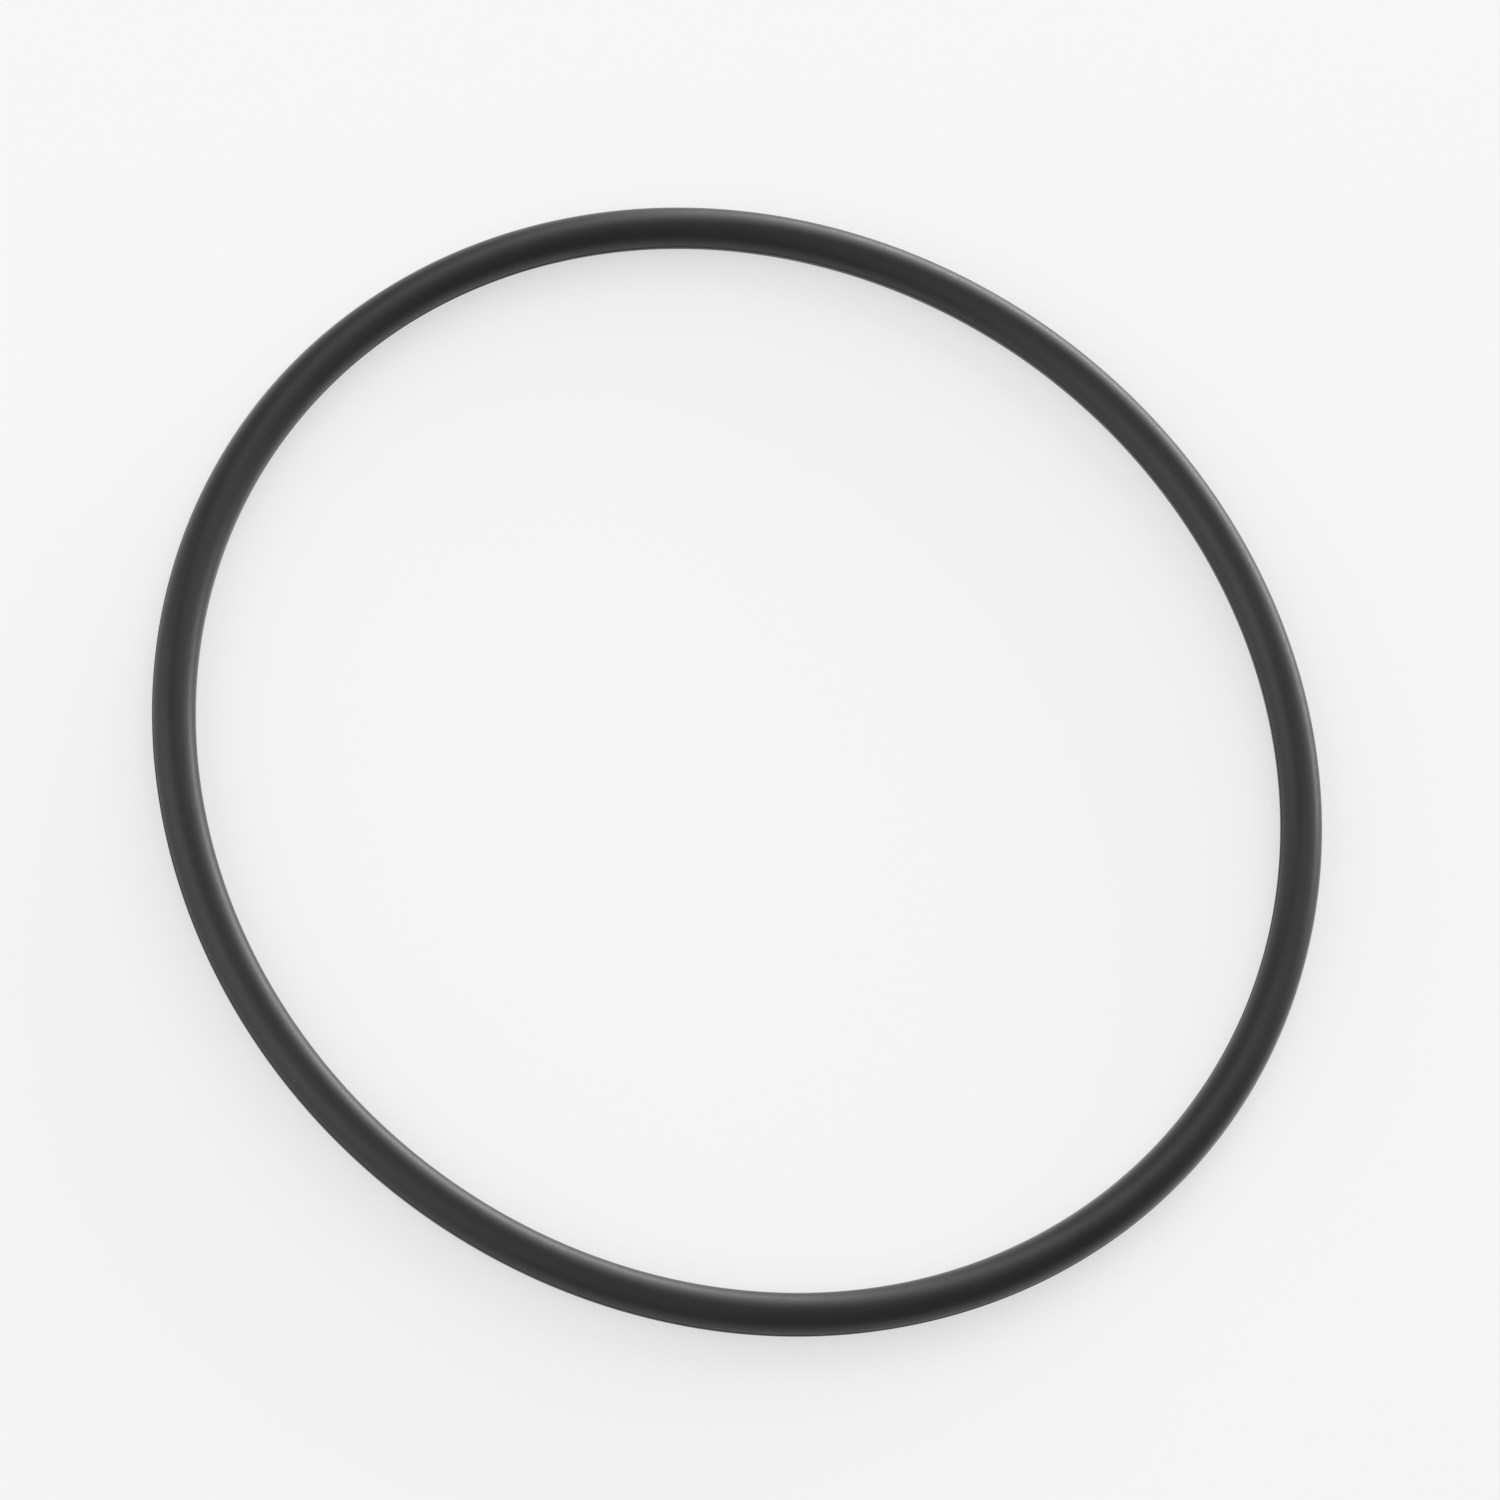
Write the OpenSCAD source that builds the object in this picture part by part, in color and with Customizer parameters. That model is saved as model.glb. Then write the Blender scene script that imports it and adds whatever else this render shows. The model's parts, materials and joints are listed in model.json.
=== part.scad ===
// Rubber O-ring
// A moulded sealing ring with a round section, lying flat as it rests on a bench.
// The origin is the middle of the ring, and +Z is the ring's axis.

/* [Ring] */
// Inside diameter, straight across the hole
inside_d = 79; // [20:0.5:200]
// Diameter of the round section
section_d = 3; // [1:0.05:8]

/* [Parting line] */
// Width of the band where the two halves of the mould met, inside and outside the ring
parting_w = 0.14; // [0.05:0.01:0.4]
// How far the trimmed band stands out of the round section
parting_h = 0.03; // [0.01:0.01:0.1]

/* [Finish] */
// Colour of the rubber
rubber_colour = "#2b2b2b"; // [#2b2b2b:Black, #5a2a1c:Brown, #8c2b22:Red]

/* [Hidden] */
// Radius of the circle through the middle of the section
centreline_r = (inside_d + section_d) / 2;
// Sides round the ring and round its section
ring_fn = 360;
section_fn = 96;

// The section: a full circle, and the thin band that crosses it at the parting plane
module ring_section() {
    circle(d = section_d, $fn = section_fn);
    square([section_d + 2 * parting_h, parting_w], center = true);
}

// The ring: its section carried once round the axis
module o_ring() {
    color(rubber_colour)
        rotate_extrude($fn = ring_fn)
            translate([centreline_r, 0])
                ring_section();
}

o_ring();
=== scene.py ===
"""A moulded rubber O-ring lying flat on a pale studio floor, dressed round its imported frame.

Every length is in metres. The ring's sizes come from the frame's mounts, and the camera and the
floor take theirs from the ring.
"""
import json
import logging
import math
from collections.abc import Callable
from dataclasses import dataclass
from enum import Enum

import bpy
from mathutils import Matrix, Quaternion, Vector

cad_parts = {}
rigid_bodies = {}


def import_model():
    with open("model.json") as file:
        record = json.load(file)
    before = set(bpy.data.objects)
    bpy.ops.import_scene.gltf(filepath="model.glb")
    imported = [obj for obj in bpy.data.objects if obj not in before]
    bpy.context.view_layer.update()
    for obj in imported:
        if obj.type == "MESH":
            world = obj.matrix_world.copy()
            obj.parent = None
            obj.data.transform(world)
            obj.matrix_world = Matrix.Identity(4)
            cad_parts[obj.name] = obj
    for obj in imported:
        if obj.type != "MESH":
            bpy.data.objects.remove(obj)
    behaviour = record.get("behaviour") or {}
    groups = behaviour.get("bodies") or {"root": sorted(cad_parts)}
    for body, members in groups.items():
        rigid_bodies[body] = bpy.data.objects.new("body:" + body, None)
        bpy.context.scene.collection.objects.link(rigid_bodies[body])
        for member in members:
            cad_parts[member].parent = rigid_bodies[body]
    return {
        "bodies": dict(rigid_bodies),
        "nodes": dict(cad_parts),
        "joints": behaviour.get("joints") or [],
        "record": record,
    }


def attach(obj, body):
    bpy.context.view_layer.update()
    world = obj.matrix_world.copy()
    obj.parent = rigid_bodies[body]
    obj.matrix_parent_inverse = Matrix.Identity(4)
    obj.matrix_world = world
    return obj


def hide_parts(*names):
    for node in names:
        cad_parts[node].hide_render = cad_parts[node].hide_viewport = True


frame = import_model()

MM = 0.001
NODE = "o_ring"
BODY = "root"
PHOTO_PX = 1500

# A cloudy pattern stays between these two levels over most of its area.
PATTERN_LOW = 0.3
PATTERN_HIGH = 0.7

log = logging.getLogger(NODE)


class Flank(Enum):
    """The two sides of the section that a parting band stands on, as a sign along the ring's radius."""

    INNER = -1
    OUTER = 1


class Tone(Enum):
    """Plain colours of the scene, as linear red, green and blue."""

    BLACK_RUBBER = (0.012, 0.012, 0.012)
    PALE_FLOOR = (0.96, 0.96, 0.96)
    ROOM_LIGHT = (1.0, 1.0, 1.0)

    def rgba(self, share: float = 1.0) -> tuple[float, float, float, float]:
        """Returns a share of the colour, with full opacity."""
        return (*(part * share for part in self.value), 1.0)


def deselect_all() -> None:
    """Leaves edit mode if it is on, and deselects every object."""
    if bpy.context.mode != "OBJECT":
        bpy.ops.object.mode_set(mode="OBJECT")
    bpy.ops.object.select_all(action="DESELECT")


def direction_of(azimuth_deg: float, elevation_deg: float) -> Vector:
    """Points from the ring towards a place in the studio.

    Args:
        azimuth_deg: the turn about the ring's axis, from 0 at -Y, the camera's side, towards +X.
        elevation_deg: the angle above the floor.

    Returns:
        A vector one metre long.
    """
    turn = math.radians(azimuth_deg)
    rise = math.radians(elevation_deg)
    return Vector((math.sin(turn) * math.cos(rise), -math.cos(turn) * math.cos(rise), math.sin(rise)))


@dataclass
class NodeBench:
    """The node tree of one material, with short ways to add and join nodes."""

    tree: bpy.types.NodeTree

    def add(self, kind: str, label: str, **settings: object) -> bpy.types.Node:
        """Adds a node.

        Args:
            kind: Blender's name for the kind of node.
            label: what the node is for.
            settings: the node's own properties.

        Returns:
            The new node.
        """
        node = self.tree.nodes.new(kind)
        node.label = label
        for name, value in settings.items():
            setattr(node, name, value)
        return node

    def join(self, source: bpy.types.NodeSocket, target: bpy.types.NodeSocket) -> None:
        """Runs a link from an output socket to an input socket."""
        self.tree.links.new(source, target)

    def maths(
        self,
        operation: str,
        label: str,
        first: bpy.types.NodeSocket | float,
        second: bpy.types.NodeSocket | float = 0.0,
    ) -> bpy.types.NodeSocket:
        """Adds a Math node, whose inputs are numbers or other nodes' outputs.

        Args:
            operation: Blender's name for the sum.
            label: what the sum is for.
            first: the first input.
            second: the second input, where the sum has one.

        Returns:
            The node's output socket.
        """
        node = self.add("ShaderNodeMath", label, operation=operation)
        for socket, value in zip(node.inputs, (first, second)):
            if isinstance(value, bpy.types.NodeSocket):
                self.join(value, socket)
            else:
                socket.default_value = value
        return node.outputs[0]

    def noise(
        self, label: str, place: bpy.types.NodeSocket, size: float, detail: float
    ) -> bpy.types.NodeSocket:
        """Adds a cloudy pattern.

        Args:
            label: what the pattern is for.
            place: the coordinates that it reads, in metres.
            size: the width of its larger patches, in metres.
            detail: how many finer layers it holds.

        Returns:
            The pattern's output socket, about 0 to 1.
        """
        node = self.add("ShaderNodeTexNoise", label)
        node.inputs["Scale"].default_value = 1.0 / size
        node.inputs["Detail"].default_value = detail
        self.join(place, node.inputs["Vector"])
        return node.outputs[0]

    def ramp(
        self, label: str, value: bpy.types.NodeSocket, span: tuple[float, float], levels: tuple[float, float]
    ) -> bpy.types.NodeSocket:
        """Turns one range of a value into another, and holds it at the ends.

        Args:
            label: what the new levels are of.
            value: the value that is read.
            span: where the value starts and ends.
            levels: what comes out at those two ends.

        Returns:
            The output socket.
        """
        node = self.add("ShaderNodeMapRange", label)
        for name, number in zip(("From Min", "From Max", "To Min", "To Max"), (*span, *levels)):
            node.inputs[name].default_value = number
        self.join(value, node.inputs["Value"])
        return node.outputs[0]

    def drift(
        self, label: str, pattern: bpy.types.NodeSocket, middle: float, reach: float
    ) -> bpy.types.NodeSocket:
        """Lets a level drift up and down with a cloudy pattern.

        Args:
            label: what the level is of.
            pattern: the pattern that it follows.
            middle: the level in the middle of its drift.
            reach: how far it drifts to either side.

        Returns:
            The output socket.
        """
        return self.ramp(label, pattern, (PATTERN_LOW, PATTERN_HIGH), (middle - reach, middle + reach))


@dataclass(frozen=True)
class MouldedRubber:
    """Black rubber from a polished mould: even satin with a faint pale bloom, duller where it was trimmed."""

    tone: Tone = Tone.BLACK_RUBBER
    tone_drift: float = 0.10
    cloud_size: float = 6.0 * MM
    cloud_detail: float = 3.0
    roughness: float = 0.45
    roughness_drift: float = 0.02
    patch_size: float = 3.0 * MM
    patch_detail: float = 2.0
    trimmed_roughness: float = 0.62
    trimmed_edge: float = 0.02 * MM
    grain_size: float = 0.12 * MM
    grain_detail: float = 4.0
    grain_height: float = 0.0007 * MM
    bloom: float = 0.35
    bloom_roughness: float = 0.3

    def material(self, parting_w: float) -> bpy.types.Material:
        """Makes the finish.

        Args:
            parting_w: the width of the parting band, which is trimmed and so duller.

        Returns:
            The material, with its patterns in object coordinates.
        """
        made = bpy.data.materials.new("moulded_rubber")
        made.use_nodes = True
        bench = NodeBench(made.node_tree)
        shader = bench.tree.nodes["Principled BSDF"]
        place = bench.add("ShaderNodeTexCoord", "place on the ring").outputs["Object"]
        bench.join(self._colour(bench, place), shader.inputs["Base Color"])
        bench.join(self._gloss(bench, place, parting_w), shader.inputs["Roughness"])
        bench.join(self._grain(bench, place), shader.inputs["Normal"])
        shader.inputs["Sheen Weight"].default_value = self.bloom
        shader.inputs["Sheen Roughness"].default_value = self.bloom_roughness
        return made

    def _colour(self, bench: NodeBench, place: bpy.types.NodeSocket) -> bpy.types.NodeSocket:
        """Makes the rubber's black, with faint clouds where the compound is a shade lighter.

        Args:
            bench: the finish's node tree.
            place: the coordinates on the ring.

        Returns:
            The colour's output socket.
        """
        cloud = bench.noise("clouds in the compound", place, self.cloud_size, self.cloud_detail)
        lift = bench.drift("lighter and darker rubber", cloud, 1.0, self.tone_drift)
        black = bench.add("ShaderNodeVectorMath", "the rubber's black", operation="SCALE")
        black.inputs[0].default_value = self.tone.value
        bench.join(lift, black.inputs["Scale"])
        return black.outputs[0]

    def _gloss(
        self, bench: NodeBench, place: bpy.types.NodeSocket, parting_w: float
    ) -> bpy.types.NodeSocket:
        """Makes the roughness of the moulded satin, and a duller one on the trimmed band.

        Args:
            bench: the finish's node tree.
            place: the coordinates on the ring.
            parting_w: the width of the trimmed band.

        Returns:
            The roughness's output socket.
        """
        patch = bench.noise("patches of finer and coarser satin", place, self.patch_size, self.patch_detail)
        satin = bench.drift("the moulded satin", patch, self.roughness, self.roughness_drift)
        band = self._trimmed_band(bench, place, parting_w)
        duller = bench.maths("SUBTRACT", "how much duller the band is", self.trimmed_roughness, satin)
        added = bench.maths("MULTIPLY", "only on the band", duller, band)
        return bench.maths("ADD", "roughness", satin, added)

    def _trimmed_band(
        self, bench: NodeBench, place: bpy.types.NodeSocket, parting_w: float
    ) -> bpy.types.NodeSocket:
        """Marks the trimmed band, which lies across the parting plane.

        Args:
            bench: the finish's node tree.
            place: the coordinates on the ring.
            parting_w: the width of the trimmed band.

        Returns:
            An output socket that is one on the band and nothing elsewhere.
        """
        split = bench.add("ShaderNodeSeparateXYZ", "height above the parting plane")
        bench.join(place, split.inputs[0])
        height = bench.maths("ABSOLUTE", "distance from the parting plane", split.outputs["Z"])
        half_w = parting_w / 2
        return bench.ramp("on the trimmed band", height, (half_w, half_w + self.trimmed_edge), (1.0, 0.0))

    def _grain(self, bench: NodeBench, place: bpy.types.NodeSocket) -> bpy.types.NodeSocket:
        """Makes the fine grain of the mould.

        Args:
            bench: the finish's node tree.
            place: the coordinates on the ring.

        Returns:
            The output socket of the surface's slant.
        """
        grain = bench.noise("mould grain", place, self.grain_size, self.grain_detail)
        bump = bench.add("ShaderNodeBump", "grain height")
        bump.inputs["Distance"].default_value = self.grain_height
        bench.join(grain, bump.inputs["Height"])
        return bump.outputs[0]


@dataclass
class SealingRing:
    """The O-ring: one moulded piece, a round section carried once round, with a trimmed parting line."""

    bore_r: float
    rim_r: float
    parting_w: float
    parting_h: float = 0.03 * MM
    corner_r: float = 0.02 * MM
    corner_steps: int = 3
    section_points: int = 64
    sweep_steps: int = 512
    weld_gap: float = 0.0005 * MM
    finish: MouldedRubber = MouldedRubber()

    @classmethod
    def from_frame(cls, packed: dict) -> "SealingRing":
        """Takes the ring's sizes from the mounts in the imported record.


        Returns:
            The ring, ready to build.
        """
        dims = {mount["name"]: mount["dims"] for mount in packed["record"]["mounts"]}
        return cls(
            bore_r=dims["bore"]["r_mm"] * MM,
            rim_r=dims["rim"]["r_mm"] * MM,
            parting_w=dims["rim"]["length_mm"] * MM,
        )

    @property
    def section_r(self) -> float:
        """Radius of the round section, without the parting band."""
        return (self.rim_r - self.bore_r) / 2 - self.parting_h

    @property
    def centreline_r(self) -> float:
        """Radius of the circle through the middle of the section."""
        return (self.rim_r + self.bore_r) / 2

    def build(self) -> bpy.types.Object:
        """Models the ring.

        Returns:
            The finished piece, at the origin.
        """
        piece = self._draw_section()
        self._raise_parting_band()
        self._round_corners()
        self._leave_outline()
        self._carry_round()
        self._smooth()
        return piece

    def _draw_section(self) -> bpy.types.Object:
        """Draws the round section as a filled circle, standing across the ring.

        Returns:
            The piece, which is still flat.
        """
        deselect_all()
        bpy.ops.mesh.primitive_circle_add(
            vertices=self.section_points,
            radius=self.section_r,
            fill_type="NGON",
            location=(self.centreline_r, 0.0, 0.0),
            rotation=(math.pi / 2, 0.0, 0.0),
        )
        piece = bpy.context.active_object
        piece.name = "moulded_ring"
        piece.data.name = "moulded_ring"
        bpy.ops.object.transform_apply(location=True, rotation=True, scale=True)
        return piece

    def _raise_parting_band(self) -> None:
        """Cuts the section just above and below the parting plane, and draws the band out of both flanks."""
        half_w = self.parting_w / 2
        # At the two cuts, the section has fallen this far back from its innermost or outermost point.
        sunk = half_w * math.tan(math.pi / self.section_points)
        root = self.section_r - sunk - self.weld_gap
        bpy.ops.object.mode_set(mode="EDIT")
        for level in (half_w, -half_w):
            bpy.ops.mesh.select_all(action="SELECT")
            bpy.ops.mesh.bisect(
                plane_co=(0.0, 0.0, level), plane_no=(0.0, 0.0, 1.0), threshold=self.weld_gap
            )
        self._select_vertices(lambda co: abs(co.z) < half_w - self.weld_gap)
        bpy.ops.mesh.dissolve_verts()
        for flank in Flank:
            self._select_edges(lambda co: self._on_flank(co, flank, half_w, root))
            rise = flank.value * (sunk + self.parting_h)
            bpy.ops.mesh.extrude_region_move(TRANSFORM_OT_translate={"value": (rise, 0.0, 0.0)})

    def _round_corners(self) -> None:
        """Makes the section one face again, and rounds the band's corners and the hollows at its root."""
        half_w = self.parting_w / 2
        bpy.ops.mesh.select_all(action="SELECT")
        bpy.ops.mesh.dissolve_faces()
        self._select_vertices(lambda co: abs(co.z) < half_w + self.weld_gap)
        bpy.ops.mesh.bevel(
            offset=self.corner_r,
            offset_type="OFFSET",
            segments=self.corner_steps,
            affect="VERTICES",
        )

    def _leave_outline(self) -> None:
        """Takes the face off the section, and leaves its outline for the sweep."""
        bpy.ops.mesh.select_all(action="SELECT")
        bpy.ops.mesh.delete(type="ONLY_FACE")

    def _carry_round(self) -> None:
        """Carries the outline once round the ring's axis, and closes the seam where it comes back."""
        bpy.ops.mesh.select_all(action="SELECT")
        bpy.ops.mesh.spin(
            steps=self.sweep_steps,
            angle=2 * math.pi,
            center=(0.0, 0.0, 0.0),
            axis=(0.0, 0.0, 1.0),
        )
        bpy.ops.mesh.select_all(action="SELECT")
        bpy.ops.mesh.remove_doubles(threshold=self.weld_gap)
        bpy.ops.mesh.normals_make_consistent(inside=False)

    def _smooth(self) -> None:
        """Shades the surface smooth, as its corners are rounded in the mesh."""
        bpy.ops.object.mode_set(mode="OBJECT")
        bpy.ops.object.shade_smooth()

    def _on_flank(self, co: Vector, flank: Flank, half_w: float, least: float) -> bool:
        """Tests a point of the section.

        Args:
            co: the point.
            flank: the side of the section to look at.
            half_w: the most that it may lie above or below the parting plane.
            least: the least that it lies from the section's middle, towards the flank.

        Returns:
            True where the point is on that flank, between the two cuts.
        """
        outward = (co.x - self.centreline_r) * flank.value
        return outward > least and abs(co.z) < half_w + self.weld_gap

    def _select_vertices(self, wanted: Callable[[Vector], bool]) -> None:
        """Selects the vertices whose place passes a test.

        Args:
            wanted: takes a place and says whether that vertex is selected.
        """
        bpy.ops.mesh.select_mode(type="VERT")
        bpy.ops.mesh.select_all(action="DESELECT")
        bpy.ops.object.mode_set(mode="OBJECT")
        for vertex in bpy.context.active_object.data.vertices:
            vertex.select = wanted(vertex.co)
        bpy.ops.object.mode_set(mode="EDIT")

    def _select_edges(self, wanted: Callable[[Vector], bool]) -> None:
        """Selects the edges whose two ends pass a test.

        Args:
            wanted: takes the place of an edge's end and says whether it passes.
        """
        bpy.ops.mesh.select_mode(type="EDGE")
        bpy.ops.mesh.select_all(action="DESELECT")
        bpy.ops.object.mode_set(mode="OBJECT")
        mesh = bpy.context.active_object.data
        for edge in mesh.edges:
            edge.select = all(wanted(mesh.vertices[index].co) for index in edge.vertices)
        bpy.ops.object.mode_set(mode="EDIT")

    def dress(self, piece: bpy.types.Object) -> None:
        """Gives the piece its finish, and ties it to the CAD part that it stands for.

        Args:
            piece: the ring's own object.
        """
        piece.data.materials.clear()
        piece.data.materials.append(self.finish.material(self.parting_w))
        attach(piece, BODY)
        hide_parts(NODE)


@dataclass(frozen=True)
class PaleFloor:
    """Matt pale floor. What sees it directly sees part of its tone as its own, so its shadows stay light."""

    tone: Tone = Tone.PALE_FLOOR
    shaded_share: float = 0.42
    own_level: float = 0.575

    def material(self) -> bpy.types.Material:
        """Makes the finish.

        Returns:
            The material: plain matt to the light that it scatters, and paler where it is looked at.
        """
        made = bpy.data.materials.new("pale_floor")
        made.use_nodes = True
        bench = NodeBench(made.node_tree)
        bench.tree.nodes.clear()
        choice = bench.add("ShaderNodeMixShader", "scattered or looked at")
        bench.join(self._seen(bench), choice.inputs[0])
        bench.join(self._matt(bench, "floor as the ring's light sees it", 1.0), choice.inputs[1])
        bench.join(self._looked_at(bench), choice.inputs[2])
        surface = bench.add("ShaderNodeOutputMaterial", "floor")
        bench.join(choice.outputs[0], surface.inputs["Surface"])
        return made

    def _looked_at(self, bench: NodeBench) -> bpy.types.NodeSocket:
        """Makes the floor as it is looked at: a matt share of its tone, and the rest as its own.

        Args:
            bench: the finish's node tree.

        Returns:
            The shader's output socket.
        """
        own = bench.add("ShaderNodeEmission", "the floor's own tone")
        own.inputs["Strength"].default_value = self.own_level
        both = bench.add("ShaderNodeAddShader", "floor as it is looked at")
        bench.join(self._matt(bench, "floor in its shadows", self.shaded_share), both.inputs[0])
        bench.join(own.outputs[0], both.inputs[1])
        return both.outputs[0]

    def _matt(self, bench: NodeBench, label: str, share: float) -> bpy.types.NodeSocket:
        """Makes a matt surface in a share of the floor's tone.

        Args:
            bench: the finish's node tree.
            label: what the surface is for.
            share: the share of the tone, where 1 is all of it.

        Returns:
            The shader's output socket.
        """
        matt = bench.add("ShaderNodeBsdfDiffuse", label)
        matt.inputs["Color"].default_value = self.tone.rgba(share)
        return matt.outputs[0]

    def _seen(self, bench: NodeBench) -> bpy.types.NodeSocket:
        """Tells the rays that look at the floor from the light that it scatters.

        Args:
            bench: the finish's node tree.

        Returns:
            An output socket that is one for the rays of the camera, of gloss and of glass.
        """
        ray = bench.add("ShaderNodeLightPath", "kind of ray")
        kinds = ("Camera", "Glossy", "Transmission")
        camera, gloss, glass = (ray.outputs[f"Is {kind} Ray"] for kind in kinds)
        either = bench.maths("MAXIMUM", "camera or gloss", camera, gloss)
        return bench.maths("MAXIMUM", "camera, gloss or glass", either, glass)


@dataclass(frozen=True)
class SoftLamp:
    """A flat soft lamp that faces the ring. Its light is given as seen by the ring, where 1 is white."""

    name: str
    azimuth_deg: float
    elevation_deg: float
    width: float
    height: float
    level: float
    distance: float = 1.2

    def hang(self) -> None:
        """Hangs the lamp in its place and reports it."""
        away = direction_of(self.azimuth_deg, self.elevation_deg)
        deselect_all()
        bpy.ops.object.light_add(type="AREA", location=away * self.distance)
        lamp = bpy.context.active_object
        lamp.name = self.name
        lamp.rotation_euler = away.to_track_quat("Z", "Y").to_euler()
        lamp.data.shape = "RECTANGLE"
        lamp.data.size = self.width
        lamp.data.size_y = self.height
        # A flat lamp of this power shines at the level, whatever its size.
        lamp.data.energy = self.level * math.pi * self.width * self.height
        lamp.visible_camera = False
        log.info("lamp %s at level %.2f", self.name, self.level)


@dataclass
class Studio:
    """The pale floor that the ring lies on, the soft lamps round it and the dim room behind them."""

    floor_level: float
    floor_r: float = 4.0
    floor_points: int = 96
    floor_finish: PaleFloor = PaleFloor()
    room_level: float = 0.22
    lamps: tuple[SoftLamp, ...] = (
        SoftLamp("rear_strip_lamp", azimuth_deg=170.0, elevation_deg=5.5, width=1.3, height=0.2, level=15.0),
        SoftLamp("rear_soft_lamp", azimuth_deg=184.0, elevation_deg=23.0, width=0.95, height=1.0, level=2.5),
        SoftLamp("front_lamp", azimuth_deg=-45.0, elevation_deg=28.0, width=2.15, height=1.25, level=1.33),
        SoftLamp("top_lamp", azimuth_deg=-63.0, elevation_deg=85.0, width=3.4, height=0.85, level=0.62),
    )

    def build(self) -> None:
        """Lays the floor, sets the room's light and hangs the lamps."""
        self._lay_floor()
        self._fill_room()
        for lamp in self.lamps:
            lamp.hang()

    def _lay_floor(self) -> None:
        """Lays a wide round floor under the ring."""
        deselect_all()
        bpy.ops.mesh.primitive_circle_add(
            vertices=self.floor_points,
            radius=self.floor_r,
            fill_type="NGON",
            location=(0.0, 0.0, self.floor_level),
        )
        floor = bpy.context.active_object
        floor.name = "studio_floor"
        bpy.ops.object.transform_apply(location=True, rotation=True, scale=True)
        floor.data.materials.append(self.floor_finish.material())

    def _fill_room(self) -> None:
        """Lights the room evenly and dimly from all sides."""
        world = bpy.data.worlds.new("studio_room")
        world.use_nodes = True
        shade = world.node_tree.nodes["Background"]
        shade.inputs["Color"].default_value = Tone.ROOM_LIGHT.rgba()
        shade.inputs["Strength"].default_value = self.room_level
        bpy.context.scene.world = world


@dataclass(frozen=True)
class ViewPoint:
    """The photograph's view: how steeply it looks down, how far it is turned and how near it stands."""

    elevation_deg: float = 63.243
    roll_deg: float = 35.431
    distance_in_radii: float = 12.750
    nearest_in_radii: float = 0.1
    farthest_in_radii: float = 1275.0
    lens_mm: float = 178.51
    sensor_mm: float = 36.0
    ring_middle_px: tuple[float, float] = (748.21, 756.51)

    def set_up(self, ring_r: float) -> None:
        """Sets up the camera, and makes it the scene's own.

        Args:
            ring_r: the radius of the ring's centreline.
        """
        away = direction_of(0.0, self.elevation_deg)
        deselect_all()
        bpy.ops.object.camera_add(location=away * self.distance_in_radii * ring_r)
        camera = bpy.context.active_object
        camera.name = "camera"
        camera.rotation_mode = "QUATERNION"
        roll = Quaternion((0.0, 0.0, 1.0), math.radians(self.roll_deg))
        camera.rotation_quaternion = away.to_track_quat("Z", "Y") @ roll
        camera.data.lens = self.lens_mm
        camera.data.sensor_width = self.sensor_mm
        # The camera aims at the ring's middle, and the shift puts that where the photograph has it.
        middle_x, middle_y = self.ring_middle_px
        camera.data.shift_x = (PHOTO_PX / 2 - middle_x) / PHOTO_PX
        camera.data.shift_y = (middle_y - PHOTO_PX / 2) / PHOTO_PX
        camera.data.clip_start = self.nearest_in_radii * ring_r
        camera.data.clip_end = self.farthest_in_radii * ring_r
        bpy.context.scene.camera = camera


def main() -> None:
    """Builds the camera, the studio and the ring."""
    logging.basicConfig(level=logging.INFO, format="%(name)s: %(message)s")
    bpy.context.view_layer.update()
    bpy.context.scene.view_settings.view_transform = "Standard"
    ring = SealingRing.from_frame(frame)
    ViewPoint().set_up(ring.centreline_r)
    Studio(floor_level=-ring.section_r).build()
    piece = ring.build()
    ring.dress(piece)
    log.info("%s: %d faces", piece.name, len(piece.data.polygons))


if __name__ == "__main__":
    main()
